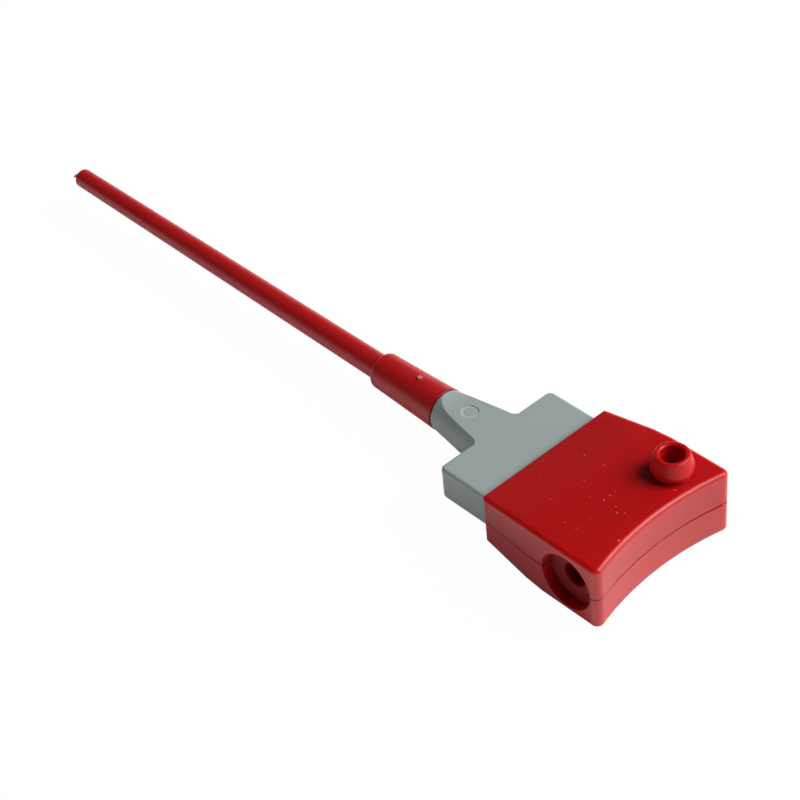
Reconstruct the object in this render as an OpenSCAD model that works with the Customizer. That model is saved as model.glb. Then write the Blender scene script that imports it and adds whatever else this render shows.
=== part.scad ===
// Grabber test hook: a thumb head slides over a finger grip and pushes two wire claws out of a thin insulating tube.
// Millimetres, +Z up. The claws point along -X, the thumb presses on the +X face, the head rests on its flat underside.

/* [Thumb head] */
// Length of the head at its rear corners
head_len = 26.4; // [25:0.1:32]
// Width of the head behind the taper
head_width = 30.9; // [30.5:0.1:38]
// Height of the head behind the taper
head_height = 12.6; // [12:0.1:16]
// Width of the head at its front edge
nose_width = 28.8; // [28.4:0.1:30]
// Height of the head at its front edge
nose_height = 9.6; // [9.2:0.1:11.5]
// Length of the tapered front part
nose_len = 12; // [8:0.5:14]
// Half length of the rounded bend behind the tapered part
nose_bend = 3.7; // [2:0.1:5]
// Depth of the hollow of the thumb face
thumb_depth = 2.2; // [1:0.1:2.6]
// Rounding of the long edges
edge_r = 0.9; // [0.3:0.05:0.95]
// Rounding of the front edges
front_edge_r = 0.4; // [0.2:0.05:0.6]
// Rounding of the upright rear corners
corner_r = 1.3; // [1:0.05:1.5]
// Rounding of the upright front corners
nose_corner_r = 1.2; // [0.8:0.05:1.25]
// Thickness of the front lip that holds the grip in
lip = 1.5; // [1.2:0.1:2]
// Width of the groove along the seam of the two shells
seam_gap = 0.04; // [0.04:0.02:0.2]
// Depth of the groove along the seam
seam_depth = 0.5; // [0.3:0.1:0.6]
// Width of the seam where it gapes at the side recess
side_gape = 0.3; // [0.1:0.05:0.4]
// Width of the seam where it gapes at one rear corner
rear_gape = 0.45; // [0.1:0.05:0.5]
// Distance of the start of the gaping seam behind the front edge
gape_start = 3.5; // [2:0.5:8]
// Diameter of the locating pins between the shells
pin_d = 1.8; // [1.4:0.1:2]
// Length of the locating pins
pin_len = 2.2; // [1.5:0.1:3]
// Distance of the locating pins from the rear corners along the head
pin_inset = 2.3; // [2:0.1:2.6]
// Distance of the locating pins from the sides of the head
pin_side = 3.4; // [3.2:0.1:3.8]

/* [Sockets for a 4 mm plug] */
// Bore of the sockets
socket_bore = 4.1; // [4.02:0.02:4.2]
// Wall of the metal sleeves
sleeve_wall = 0.5; // [0.4:0.05:0.6]
// Distance of the socket axes behind the front edge of the head
socket_back = 19.45; // [19.2:0.05:19.6]
// Diameter of the sheath recess in the side of the head
recess_d = 10.3; // [8:0.1:10.4]
// Depth of the sheath recess
recess_depth = 2.1; // [1.5:0.1:2.4]
// Insulating wall in front of the side sleeve
mouth_wall = 2.3; // [1.8:0.1:2.6]
// Diameter of the hole in that wall
mouth_d = 4.5; // [4.4:0.05:4.8]
// Length of the side sleeve
side_sleeve_len = 16.6; // [14.6:0.1:17.6]
// Wall between the two sleeves
sleeve_space = 0.9; // [0.6:0.1:1.4]
// Height of the top bush above the head
bush_height = 4; // [3.6:0.1:5]
// Diameter of the top bush at its upper rim
bush_top_d = 6; // [5.8:0.1:6.4]
// Largest diameter of the top bush
bush_max_d = 7.2; // [7:0.1:8]
// Diameter of the top bush where it enters the shell
bush_base_d = 6.2; // [6:0.1:6.6]
// Depth of the top bush in the shell
bush_seat = 2; // [1.6:0.1:2.4]
// Rounding of the upper rim of the top bush
rim_r = 0.4; // [0.2:0.05:0.45]
// Chamfer of the mouth of the top bush
mouth_chamfer = 0.25; // [0.1:0.05:0.3]
// Reach of the top sleeve into the bush above the head
sleeve_rise = 0.4; // [0.2:0.1:1.4]

/* [Finger grip] */
// Width of the finger bar
bar_width = 25.9; // [25:0.1:26]
// Height of the finger bar
bar_height = 6.5; // [6.2:0.1:6.8]
// Length of the finger bar in front of the head
bar_reach = 11.5; // [10.5:0.1:14]
// Length of the bar inside the head
bar_inside = 7; // [6.6:0.1:7.4]
// Reach of the holding ears beyond the bar, each side
ear_reach = 0.6; // [0.5:0.05:0.7]
// Length of the holding ears
ear_len = 3; // [2:0.1:4]
// Length of the neck between collar and finger bar
neck_len = 12.3; // [10:0.1:14]
// Neck diameter at the collar
neck_front_d = 7.6; // [7.2:0.1:7.7]
// Neck diameter at the finger bar
neck_rear_d = 11; // [10:0.1:12]
// Rounding where the neck meets the finger bar
neck_fillet = 1.7; // [0.8:0.1:2]
// Length over which the flats of the neck run out towards the collar
flat_run = 4; // [3:0.1:4.4]
// Rounding of the upright corners of the finger bar
bar_corner_r = 1.1; // [0.8:0.1:1.5]
// Rounding of the long edges of the finger bar
bar_edge_r = 0.6; // [0.3:0.05:0.7]
// Diameter of the ejector mark on the neck
mark_d = 3.1; // [2.5:0.1:3.4]
// Depth of the ejector mark
mark_depth = 0.16; // [0.05:0.01:0.2]

/* [Insulating shaft] */
// Length of the collar
collar_len = 16.4; // [14:0.1:20]
// Collar diameter at the neck
collar_rear_d = 7.85; // [7.75:0.05:8.4]
// Collar diameter at the front shoulder
collar_front_d = 6.8; // [6.6:0.05:7.2]
// Rounding of the front shoulder
shoulder_r = 0.9; // [0.5:0.1:0.9]
// Rounding of the rear edge of the collar
collar_edge_r = 0.2; // [0.1:0.05:0.3]
// Gap between collar and neck
collar_gap = 0.15; // [0.05:0.05:0.25]
// Diameter of the moulding gate pip on the collar
pip_d = 0.9; // [0.6:0.1:1.2]
// Height of the moulding gate pip
pip_height = 0.25; // [0.1:0.05:0.4]
// Free length of the tube in front of the collar
tube_reach = 92.4; // [80:0.1:110]
// Length of the tube inside the collar
tube_seat = 10; // [8:0.1:11]
// Tube diameter at the collar
tube_root_d = 4.8; // [4.6:0.05:5]
// Tube diameter at the tip
tube_tip_d = 3.85; // [3.7:0.05:4.2]
// Bore of the tube
tube_bore = 2.7; // [2.66:0.02:2.8]
// Rounding of the tube end
tip_r = 0.2; // [0.1:0.05:0.45]

/* [Plunger] */
// Travel of the thumb head
travel = 8; // [6:0.1:8]
// Diameter of the plunger rod
rod_d = 1.5; // [1.4:0.02:1.56]
// Outer diameter of the return spring
spring_d = 4.3; // [4:0.1:4.4]
// Wire of the return spring
spring_wire = 0.5; // [0.4:0.02:0.55]
// Number of spring coils
spring_coils = 10; // [8:1:12]
// Depth of the spring pocket in front of the head
pocket_reach = 8.5; // [7:0.1:9]
// Thickness of the spring washer
washer_t = 0.4; // [0.3:0.05:0.5]
// Thickness of the rod bush flange
flange_t = 1; // [0.9:0.05:1.1]
// Thickness of the contact bridge
bridge_t = 0.5; // [0.4:0.02:0.54]
// Width of the contact bridge
bridge_w = 4.8; // [4:0.1:5]
// Reach of the contact bridge beyond the rod and beyond the top socket
bridge_end = 3; // [2:0.1:3]
// Length of the claw ferrule
ferrule_len = 7; // [6:0.1:9]

/* [Claws] */
// Wire of the claws
wire_d = 0.7; // [0.6:0.02:0.72]
// Distance of the claw roots behind the tube end
claw_back = 12; // [12:0.1:14]
// Distance of the hooks in front of the tube end
hook_ahead = 1.15; // [1:0.05:1.5]
// Sideways reach of the hooks
hook_reach = 1.5; // [1.3:0.05:1.6]
// Bend radius of the hooks
hook_bend = 0.6; // [0.5:0.02:0.7]

/* [Fits] */
// Gap between the finger bar and the head
slide_gap = 0.14; // [0.1:0.01:0.18]
// Radial gap of a running shaft
run_gap = 0.05; // [0.03:0.01:0.08]
// Gap between seated pieces
seat_gap = 0.02; // [0.01:0.01:0.03]

/* [Hidden] */
$fn = 96;
e = 0.01;
big = 60;
hw = head_width / 2;
hh = head_height / 2;
nw = nose_width / 2;
nh = nose_height / 2;
bw = bar_width / 2;
bh = bar_height / 2;
collar_rear_x = -bar_reach - neck_len;
collar_front_x = collar_rear_x - collar_len;
tube_end_x = collar_front_x - tube_reach;
tube_root_x = collar_front_x + tube_seat;
hook_x = tube_end_x - hook_ahead;
min_x = hook_x - wire_d / 2;
axis_z = hh;
top_turn = atan2(hh - nh, nose_len);
side_turn = atan2(hw - nw, nose_len);
top_bend_r = nose_bend / tan(top_turn / 2);
side_bend_r = nose_bend / tan(side_turn / 2);
nose_corner_y = nw - nose_corner_r * (1 - sin(side_turn)) / cos(side_turn);
thumb_r = (hw * hw + thumb_depth * thumb_depth) / (2 * thumb_depth);
thumb_x = head_len + sqrt(thumb_r * thumb_r - hw * hw);
rear_cx = thumb_x - sqrt((thumb_r + corner_r) * (thumb_r + corner_r) - (hw - corner_r) * (hw - corner_r));
rear_angle = atan2(hw - corner_r, thumb_x - rear_cx);
max_x = rear_cx + corner_r;
shift_x = -(min_x + max_x) / 2;
cavity_w = bw + ear_reach + slide_gap;
cavity_h = bh + slide_gap;
stop_x = bar_inside + travel + 0.06;
sleeve_r = socket_bore / 2 + sleeve_wall;
sleeve_front_x = socket_back - sleeve_r;
bridge_x = sleeve_front_x - seat_gap - bridge_t;
flange_x = bridge_x - seat_gap - flange_t;
flange_r = spring_d / 2 + 0.05;
spigot_r = rod_d / 2 + 0.55;
recess_floor_y = -hw + recess_depth;
sleeve_y0 = recess_floor_y + mouth_wall;
top_y = sleeve_y0 + side_sleeve_len + sleeve_space + sleeve_r;
top_sleeve_z0 = -hh + 1.9;
top_sleeve_z1 = hh + sleeve_rise;
mouth_r = socket_bore / 2;
bulge_r = bush_max_d / 5;
bulge_x = bush_max_d / 2 - bulge_r;
bulge_dx = bush_top_d / 2 - bulge_x;
bulge_dz = bush_height - bulge_r;
bulge_turn = atan2(bulge_dz, bulge_dx) - acos(bulge_r / norm([bulge_dx, bulge_dz]));
spring_x0 = -pocket_reach + washer_t + 2 * seat_gap;
spring_x1 = flange_x - seat_gap;
pocket_r = spring_d / 2 + 0.3;
ferrule_r = tube_bore / 2 - run_gap;
claw_x = tube_end_x + claw_back;
claw_z = wire_d / 2 + seat_gap;
root_r = wire_d / 2 + run_gap;
rod_front_x = claw_x + ferrule_len / 2;
rod_rear_x = bridge_x + bridge_t;
collar_bore_r = tube_root_d / 2 + seat_gap;
neck_r0 = neck_front_d / 2;
neck_r1 = neck_rear_d / 2;
neck_turn = atan2(neck_r1 - neck_r0, neck_len);
flat_drop = neck_r0 + 0.1 - bh;
flat_run_r = (flat_run * flat_run + flat_drop * flat_drop) / (2 * flat_drop);
pins = [[head_len - pin_inset, -hw + pin_side], [head_len - pin_inset, hw - pin_side]];

// Everything is drawn from the front edge of the head and the shaft axis, then set on its underside.
module place() {
    translate([shift_x, 0, axis_z]) children();
}

// A rod along +X.
module along_x(x0, x1, r) {
    translate([x0, 0, 0]) rotate([0, 90, 0]) cylinder(r = r, h = x1 - x0);
}

// A solid of revolution about the shaft, its profile drawn as distance along X against radius.
module turned() {
    rotate([0, 90, 0]) rotate_extrude() rotate(90) mirror([1, 0]) mirror([0, 1]) mirror([1, 0]) children();
}

// Cutter that rounds an edge along +X, the material lying below and on the -Y side.
module edge_cut(len, r) {
    rotate([90, 0, 90]) linear_extrude(len) edge_profile(r);
}

// What a rounding takes away from a corner at the origin.
module edge_profile(r) {
    translate([-r, -r]) difference() {
        square(2 * r);
        circle(r);
    }
}

// Cutter in plan or in profile that rounds the bend behind the tapered part, at a distance h from the axis.
module bend_cut(turn, h, r) {
    foot = [nose_len - nose_bend * cos(turn), h - nose_bend * sin(turn)];
    difference() {
        polygon([[nose_len + nose_bend, h], [nose_len + nose_bend, h + 1], [nose_len, h + 1],
                 foot + [-sin(turn), cos(turn)], foot]);
        translate([nose_len + nose_bend, h - r]) circle(r, $fn = 360);
    }
}

// Cutter that rounds the long upper edge of the head along a tangent of its bend, from the front (0) to the rear (1).
module long_edge_cut(f) {
    a = side_turn * (1 - f);
    b = top_turn * (1 - f);
    translate([nose_len + nose_bend - top_bend_r * sin(b), hw - side_bend_r * (1 - cos(a)),
               hh - top_bend_r * (1 - cos(b))])
        rotate([0, -atan(tan(b) * cos(a)), a]) translate([-nose_len, 0, 0]) edge_cut(2 * nose_len + 4, edge_r);
}

// Cutter for an upright corner with its upper edge rounded too, between two directions in plan.
module corner_cut(cx, cy, a0, a1, r, top, er) {
    translate([cx, cy, 0]) difference() {
        linear_extrude(top + 1) polygon([[0, 0], 4 * r * [cos(a0), sin(a0)],
            6 * r * [cos((a0 + a1) / 2), sin((a0 + a1) / 2)], 4 * r * [cos(a1), sin(a1)]]);
        rotate_extrude() difference() {
            translate([0, -1]) square([r, top + 1]);
            translate([r, top]) edge_profile(er);
        }
    }
}

// Cutter for an upright corner alone.
module upright_cut(cx, cy, a0, a1, r, top) {
    translate([cx, cy, -1]) linear_extrude(top + 3) difference() {
        polygon([[0, 0], 4 * r * [cos(a0), sin(a0)],
            6 * r * [cos((a0 + a1) / 2), sin((a0 + a1) / 2)], 4 * r * [cos(a1), sin(a1)]]);
        circle(r);
    }
}

// Plan of the head, drawn in by a margin.
module head_plan(m) {
    difference() {
        polygon([[m, -nw + m], [nose_len, -hw + m], [head_len, -hw + m],
                 [head_len, hw - m], [nose_len, hw - m], [m, nw - m]]);
        for (s = [0, 1]) mirror([0, s]) bend_cut(side_turn, hw - m, side_bend_r);
        translate([thumb_x, 0]) circle(thumb_r + m, $fn = 360);
    }
}

// Upper half of the outside of the head.
module head_half() {
    difference() {
        intersection() {
            linear_extrude(hh) head_plan(0);
            translate([0, big, 0]) rotate([90, 0, 0]) linear_extrude(2 * big) difference() {
                polygon([[-1, 0], [0, 0], [0, nh], [nose_len, hh], [head_len + 1, hh], [head_len + 1, 0]]);
                bend_cut(top_turn, hh, top_bend_r);
            }
        }
        translate([thumb_x, 0, 0]) rotate_extrude($fn = 360) difference() {
            translate([thumb_r - 1, hh - edge_r]) square([1 + edge_r, 2 * edge_r]);
            translate([thumb_r + edge_r, hh - edge_r]) circle(edge_r);
        }
        translate([0, -big, nh]) rotate([0, 0, 90]) edge_cut(2 * big, front_edge_r);
        for (s = [0, 1]) mirror([0, s, 0]) long_edge_cut(0);
        for (s = [0, 1]) mirror([0, s, 0]) long_edge_cut(0.5);
        for (s = [0, 1]) mirror([0, s, 0]) long_edge_cut(1);
        for (s = [0, 1]) mirror([0, s, 0])
            corner_cut(rear_cx + e, hw - corner_r + e, 90, -rear_angle, corner_r, hh + e, edge_r);
        for (s = [0, 1]) mirror([0, s, 0])
            upright_cut(nose_corner_r, nose_corner_y, 90 + side_turn, 180, nose_corner_r, nh);
    }
}

// Everything that is hollow inside the head, for both shells alike.
module head_hollow() {
    translate([-1, -bw - slide_gap, -cavity_h]) cube([stop_x + 1, 2 * (bw + slide_gap), 2 * cavity_h]);
    translate([lip, -cavity_w, -cavity_h]) cube([ear_len + travel + slide_gap, 2 * cavity_w, 2 * cavity_h]);
    along_x(stop_x - 1, bridge_x + e, flange_r + run_gap);
    translate([bridge_x - seat_gap, -bridge_end - seat_gap, -bridge_w / 2 - seat_gap])
        cube([bridge_t + 3 * seat_gap, top_y + 2 * (bridge_end + seat_gap), bridge_w + 2 * seat_gap]);
    translate([socket_back, sleeve_y0, 0]) rotate([-90, 0, 0])
        cylinder(r = sleeve_r + seat_gap, h = side_sleeve_len + seat_gap);
    translate([socket_back, -hw - 1, 0]) rotate([-90, 0, 0]) cylinder(d = recess_d, h = recess_depth + 1);
    translate([socket_back, -hw, 0]) rotate([-90, 0, 0]) cylinder(d = mouth_d, h = recess_depth + mouth_wall + e);
    translate([socket_back - sleeve_r - seat_gap, top_y - sleeve_r - seat_gap, top_sleeve_z0])
        cube([2 * (sleeve_r + seat_gap), 2 * (sleeve_r + seat_gap), hh - bush_seat - top_sleeve_z0 + e]);
    translate([socket_back, top_y, hh - bush_seat]) cylinder(d = bush_base_d + 2 * seat_gap, h = big);
}

// Groove along the seam, half in each shell. It gapes at the side recess and towards one rear corner.
module seam_groove() {
    r = recess_d / 2;
    difference() {
        union() {
            translate([-1, -big, -1]) cube([head_len + 2, 2 * big, 1 + seam_gap / 2]);
            rotate([90, 0, 0]) linear_extrude(big)
                polygon([[gape_start, -1], [gape_start, 0], [socket_back - r, side_gape / 2],
                         [socket_back + r, side_gape / 2], [head_len, 0], [head_len, -1]]);
            translate([head_len - thumb_depth - 1, 0, 0]) rotate([90, 0, 90]) linear_extrude(big)
                polygon([[-2, -1], [-2, 0], [hw, rear_gape / 2], [big, rear_gape / 2], [big, -1]]);
            translate([0, big, 0]) rotate([90, 0, 0]) linear_extrude(big - hw + corner_r)
                polygon([[nose_len, -1], [nose_len, 0], [head_len, rear_gape / 2], [big, rear_gape / 2], [big, -1]]);
        }
        translate([0, 0, -2]) linear_extrude(4) head_plan(seam_depth);
    }
}

module head_upper_shell() {
    color([0.66, 0.05, 0.07]) place() difference() {
        head_half();
        head_hollow();
        seam_groove();
        for (p = pins) translate([p[0], p[1], -1]) cylinder(d = pin_d + 2 * seat_gap, h = pin_len + 1.1);
    }
}

module head_lower_shell() {
    color([0.64, 0.05, 0.07]) place() {
        difference() {
            mirror([0, 0, 1]) head_half();
            head_hollow();
            mirror([0, 0, 1]) seam_groove();
        }
        for (p = pins) translate([p[0], p[1], -1]) cylinder(d = pin_d, h = pin_len + 1);
    }
}

module top_socket_bush() {
    color([0.66, 0.05, 0.07]) place() translate([socket_back, top_y, hh]) difference() {
        union() {
            translate([0, 0, -bush_seat + seat_gap]) cylinder(d = bush_base_d, h = bush_seat + 0.5);
            rotate_extrude() {
                translate([bulge_x, bulge_r + 0.05]) circle(bulge_r);
                polygon([[0, 0.1], [bulge_x, 0.1], [bulge_x, bulge_r + 0.05],
                    [bulge_x + bulge_r * cos(bulge_turn), 0.05 + bulge_r + bulge_r * sin(bulge_turn)],
                    [bush_top_d / 2, bush_height - rim_r], [bush_top_d / 2 - rim_r, bush_height - rim_r],
                    [bush_top_d / 2 - rim_r, bush_height], [0, bush_height]]);
                translate([bush_top_d / 2 - rim_r, bush_height - rim_r]) circle(rim_r);
            }
        }
        translate([0, 0, -big]) cylinder(r = sleeve_r + seat_gap, h = big + top_sleeve_z1 - hh + seat_gap);
        translate([0, 0, -e]) cylinder(r = mouth_r, h = bush_height + 1);
        translate([0, 0, bush_height - mouth_chamfer])
            cylinder(r1 = mouth_r, r2 = mouth_r + 2 * mouth_chamfer, h = 2 * mouth_chamfer);
    }
}

module side_socket_sleeve() {
    color([0.83, 0.80, 0.72]) place() translate([socket_back, sleeve_y0, 0]) rotate([-90, 0, 0]) difference() {
        cylinder(r = sleeve_r, h = side_sleeve_len);
        translate([0, 0, -e]) cylinder(d = socket_bore, h = side_sleeve_len + 2 * e);
    }
}

module top_socket_sleeve() {
    color([0.83, 0.80, 0.72]) place() translate([socket_back, top_y, top_sleeve_z0 + seat_gap]) difference() {
        cylinder(r = sleeve_r, h = top_sleeve_z1 - top_sleeve_z0 - seat_gap);
        translate([0, 0, -1]) cylinder(d = socket_bore, h = big);
    }
}

module contact_bridge() {
    color([0.80, 0.62, 0.30]) place() difference() {
        translate([bridge_x, -bridge_end, -bridge_w / 2]) cube([bridge_t, top_y + 2 * bridge_end, bridge_w]);
        along_x(bridge_x - bridge_t, bridge_x + 2 * bridge_t, spigot_r + seat_gap);
    }
}

module rod_bush() {
    color([0.80, 0.62, 0.30]) place() difference() {
        union() {
            along_x(flange_x, flange_x + flange_t, flange_r);
            along_x(flange_x, rod_rear_x, spigot_r);
        }
        along_x(flange_x - 1, rod_rear_x + 1, rod_d / 2 + seat_gap);
    }
}

module plunger_rod() {
    color([0.72, 0.73, 0.75]) place() along_x(rod_front_x + seat_gap, rod_rear_x, rod_d / 2);
}

// Round wire wound about the rod, with its ends closed up.
module return_spring() {
    turn = 16;
    steps = spring_coils * turn;
    sides = 8;
    r = (spring_d - spring_wire) / 2;
    span = spring_x1 - spring_x0 - spring_wire;
    pitch = (span - 2 * 1.04 * spring_wire) / (spring_coils - 2);
    function rise(i) = i < turn ? i / turn * 1.04 * spring_wire
        : i > steps - turn ? span - (steps - i) / turn * 1.04 * spring_wire
        : 1.04 * spring_wire + (i - turn) / turn * pitch;
    points = [for (i = [0:steps]) for (j = [0:sides - 1])
        let (a = i * 360 / turn, b = j * 360 / sides, q = r + spring_wire / 2 * cos(b))
        [spring_x0 + spring_wire / 2 + rise(i) + spring_wire / 2 * sin(b), q * cos(a), q * sin(a)]];
    sheath = [for (i = [0:steps - 1]) for (j = [0:sides - 1])
        let (k = (j + 1) % sides)
        [i * sides + j, i * sides + k, (i + 1) * sides + k, (i + 1) * sides + j]];
    ends = [[for (j = [0:sides - 1]) sides - 1 - j], [for (j = [0:sides - 1]) steps * sides + j]];
    color([0.70, 0.71, 0.73]) place() polyhedron(points = points, faces = concat(sheath, ends), convexity = 20);
}

module spring_washer() {
    color([0.70, 0.71, 0.73]) place() difference() {
        along_x(-pocket_reach + seat_gap, -pocket_reach + seat_gap + washer_t, pocket_r - 0.08);
        along_x(-pocket_reach - 1, 0, rod_d / 2 + 0.15);
    }
}

module finger_grip() {
    color([0.58, 0.63, 0.62]) place() difference() {
        union() {
            difference() {
                translate([-bar_reach, -bw, -bh]) cube([bar_reach + bar_inside, 2 * bw, 2 * bh]);
                for (s = [0, 1]) for (t = [0, 1]) mirror([0, s, 0]) mirror([0, 0, t]) {
                    translate([-bar_reach - 1, bw, bh]) edge_cut(bar_reach + bar_inside + 2, bar_edge_r);
                    translate([-bar_reach, -big, bh]) rotate([0, 0, 90]) edge_cut(2 * big, bar_edge_r);
                    corner_cut(-bar_reach + bar_corner_r, bw - bar_corner_r, 90, 180, bar_corner_r, bh, bar_edge_r);
                }
            }
            translate([lip + seat_gap, -bw - ear_reach, -bh + bar_edge_r])
                cube([ear_len, 2 * (bw + ear_reach), 2 * (bh - bar_edge_r)]);
            intersection() {
                neck();
                translate([0, big, 0]) rotate([90, 0, 0]) linear_extrude(2 * big) neck_flats();
            }
            along_x(tube_root_x + seat_gap, collar_rear_x + 1, collar_bore_r - seat_gap);
        }
        along_x(-pocket_reach, bar_inside + 1, pocket_r);
        along_x(tube_root_x - 1, 0, rod_d / 2 + run_gap);
        translate([-bar_reach - neck_len / 2, 0, bh - mark_depth]) cylinder(d = mark_d, h = 1);
    }
}

// Side view of the neck: round at the collar, flat like the bar behind.
module neck_flats() {
    difference() {
        translate([collar_rear_x - 1, -neck_r0 - 1]) square([neck_len + bar_reach + 1, 2 * neck_r0 + 2]);
        for (t = [0, 1]) mirror([0, t]) {
            translate([collar_rear_x + flat_run, bh]) square(big);
            translate([collar_rear_x + flat_run, bh + flat_run_r]) circle(flat_run_r, $fn = 360);
        }
    }
}

// Cone of the neck with a rounded run-out into the finger bar.
module neck() {
    x0 = collar_rear_x + collar_gap;
    x1 = -bar_reach + bar_edge_r + 0.05;
    fx = x1 - neck_fillet;
    fr = neck_r0 + (fx - collar_rear_x) * tan(neck_turn) + neck_fillet / cos(neck_turn);
    turned() difference() {
        polygon([[x0, 0], [x0, neck_r0 + collar_gap * tan(neck_turn)],
                 [fx + neck_fillet * sin(neck_turn), fr - neck_fillet * cos(neck_turn)],
                 [fx, fr - e], [x1 + 1.2, fr - e], [x1 + 1.2, 0]]);
        translate([fx, fr - e]) circle(neck_fillet);
    }
}

module tube_collar() {
    taper = atan2((collar_rear_d - collar_front_d) / 2, collar_len);
    pip_x = (collar_rear_x + collar_front_x) / 2 + collar_len / 8;
    pip_r = collar_front_d / 2 + (pip_x - collar_front_x) * tan(taper);
    color([0.62, 0.05, 0.07]) place() difference() {
        union() {
            turned() {
                polygon([[collar_front_x, 0], [collar_front_x, collar_front_d / 2 - shoulder_r],
                         [collar_front_x + shoulder_r, collar_front_d / 2 - shoulder_r],
                         [collar_front_x + shoulder_r * (1 - sin(taper)),
                          collar_front_d / 2 - shoulder_r + shoulder_r * cos(taper)],
                         [collar_rear_x, collar_rear_d / 2], [collar_rear_x, 0]]);
                translate([collar_front_x + shoulder_r, collar_front_d / 2 - shoulder_r]) circle(shoulder_r);
            }
            translate([pip_x, 0, 0]) cylinder(d = pip_d, h = pip_r + pip_height);
        }
        turned() translate([collar_rear_x, collar_rear_d / 2]) edge_profile(collar_edge_r);
        along_x(collar_front_x - 1, collar_rear_x + 1, collar_bore_r);
    }
}

module insulating_tube() {
    color([0.60, 0.05, 0.07]) place() difference() {
        turned() difference() {
            polygon([[tube_end_x, 0], [tube_end_x, tube_tip_d / 2], [tube_end_x + tip_r, tube_tip_d / 2],
                     [collar_front_x, tube_root_d / 2], [tube_root_x, tube_root_d / 2], [tube_root_x, 0]]);
            translate([tube_end_x, tube_tip_d / 2]) mirror([1, 0]) edge_profile(tip_r);
        }
        along_x(tube_end_x - 1, tube_root_x + 1, tube_bore / 2);
    }
}

module claw_ferrule() {
    color([0.78, 0.70, 0.48]) place() difference() {
        along_x(claw_x, claw_x + ferrule_len, ferrule_r);
        along_x(rod_front_x, claw_x + ferrule_len + 1, rod_d / 2 + seat_gap);
        for (s = [-1, 1]) translate([claw_x, 0, s * claw_z])
            translate([0, 0, -root_r]) cylinder(r = root_r, h = 2 * root_r);
    }
}

// Wire claw in its own plane: round root, straight shank, bend, and a ground point.
module claw(side) {
    r = wire_d / 2;
    bx = hook_x + hook_bend;
    mirror([0, side < 0 ? 0 : 1, 0]) {
        translate([claw_x, 0, 0]) sphere(r);
        along_x(bx, claw_x, r);
        translate([bx, -hook_bend, 0]) rotate([0, 0, 90]) rotate_extrude(angle = 90) translate([hook_bend, 0]) circle(r);
        translate([hook_x, -hook_bend, 0]) rotate([90, 0, 0]) {
            cylinder(r = r, h = 0.25);
            translate([0, 0, 0.25]) cylinder(r1 = r, r2 = 0.05, h = hook_reach - hook_bend - 0.25);
        }
    }
}

module claw_left() {
    color([0.60, 0.61, 0.63]) place() translate([0, 0, claw_z]) claw(-1);
}

module claw_right() {
    color([0.60, 0.61, 0.63]) place() translate([0, 0, -claw_z]) claw(1);
}

head_upper_shell();
head_lower_shell();
top_socket_bush();
side_socket_sleeve();
top_socket_sleeve();
contact_bridge();
rod_bush();
plunger_rod();
return_spring();
spring_washer();
finger_grip();
tube_collar();
insulating_tube();
claw_ferrule();
claw_left();
claw_right();
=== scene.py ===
# %% [markdown]
# # Grabber test hook
# The object is a test probe for a bench: a red thumb head slides over a grey finger grip and pushes
# two wire claws out of a long thin tube. Almost every surface is injection-moulded plastic, so the
# shapes are simple and the work of this lesson is in the finish: a semi-gloss red, a satin grey, and
# the small marks that a mould and a workbench leave. The exact shapes come in as a fixed frame, and
# everything here is in metres in that same frame.

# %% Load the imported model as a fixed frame
import math

import bpy
from mathutils import Euler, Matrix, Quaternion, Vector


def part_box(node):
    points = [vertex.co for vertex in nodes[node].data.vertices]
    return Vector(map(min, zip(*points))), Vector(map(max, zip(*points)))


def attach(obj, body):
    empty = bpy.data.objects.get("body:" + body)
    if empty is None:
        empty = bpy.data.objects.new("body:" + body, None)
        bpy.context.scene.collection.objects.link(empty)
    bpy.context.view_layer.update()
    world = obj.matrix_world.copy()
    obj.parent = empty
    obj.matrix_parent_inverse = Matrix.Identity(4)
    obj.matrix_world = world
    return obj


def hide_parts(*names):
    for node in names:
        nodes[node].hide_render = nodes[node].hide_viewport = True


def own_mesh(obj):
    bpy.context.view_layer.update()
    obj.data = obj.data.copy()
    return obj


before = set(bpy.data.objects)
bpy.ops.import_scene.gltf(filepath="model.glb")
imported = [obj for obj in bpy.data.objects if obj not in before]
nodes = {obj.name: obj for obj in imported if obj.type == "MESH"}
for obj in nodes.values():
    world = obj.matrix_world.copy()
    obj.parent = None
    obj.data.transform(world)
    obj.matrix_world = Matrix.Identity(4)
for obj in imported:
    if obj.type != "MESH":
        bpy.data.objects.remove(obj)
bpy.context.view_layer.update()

# %% [markdown]
# ## Camera
# The photograph looks down on the rear right of the hook. Its camera was found by matching the corners
# of the head, the finger bar and the tube, and then the outline as a whole, so it is given here as three
# angles and a place. A camera can also be aimed with a tracking constraint, but plain angles keep the
# slight roll of the picture.

# %% Camera at the photograph's angle
IMAGE_SIZE = 800
FOCAL_PIXELS = 1936.120
SENSOR_WIDTH = 36.0
AZIMUTH, ELEVATION, ROLL = 52.186, 40.274, 6.819
CAMERA_PLACE = (0.223833, -0.159912, 0.222394)

lens_data = bpy.data.cameras.new("photo_camera")
lens_data.sensor_width = SENSOR_WIDTH
lens_data.lens = FOCAL_PIXELS / IMAGE_SIZE * SENSOR_WIDTH
lens_data.clip_start, lens_data.clip_end = 0.01, 20.0
photo_camera = bpy.data.objects.new("photo_camera", lens_data)
aim = Euler((math.radians(90 - ELEVATION), 0.0, math.radians(AZIMUTH))).to_quaternion()
photo_camera.rotation_mode = "QUATERNION"
photo_camera.rotation_quaternion = aim @ Quaternion((0, 0, 1), math.radians(-ROLL))
photo_camera.location = CAMERA_PLACE
bpy.context.scene.collection.objects.link(photo_camera)
bpy.context.scene.camera = photo_camera
print("lens in mm:", round(lens_data.lens, 2))

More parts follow.
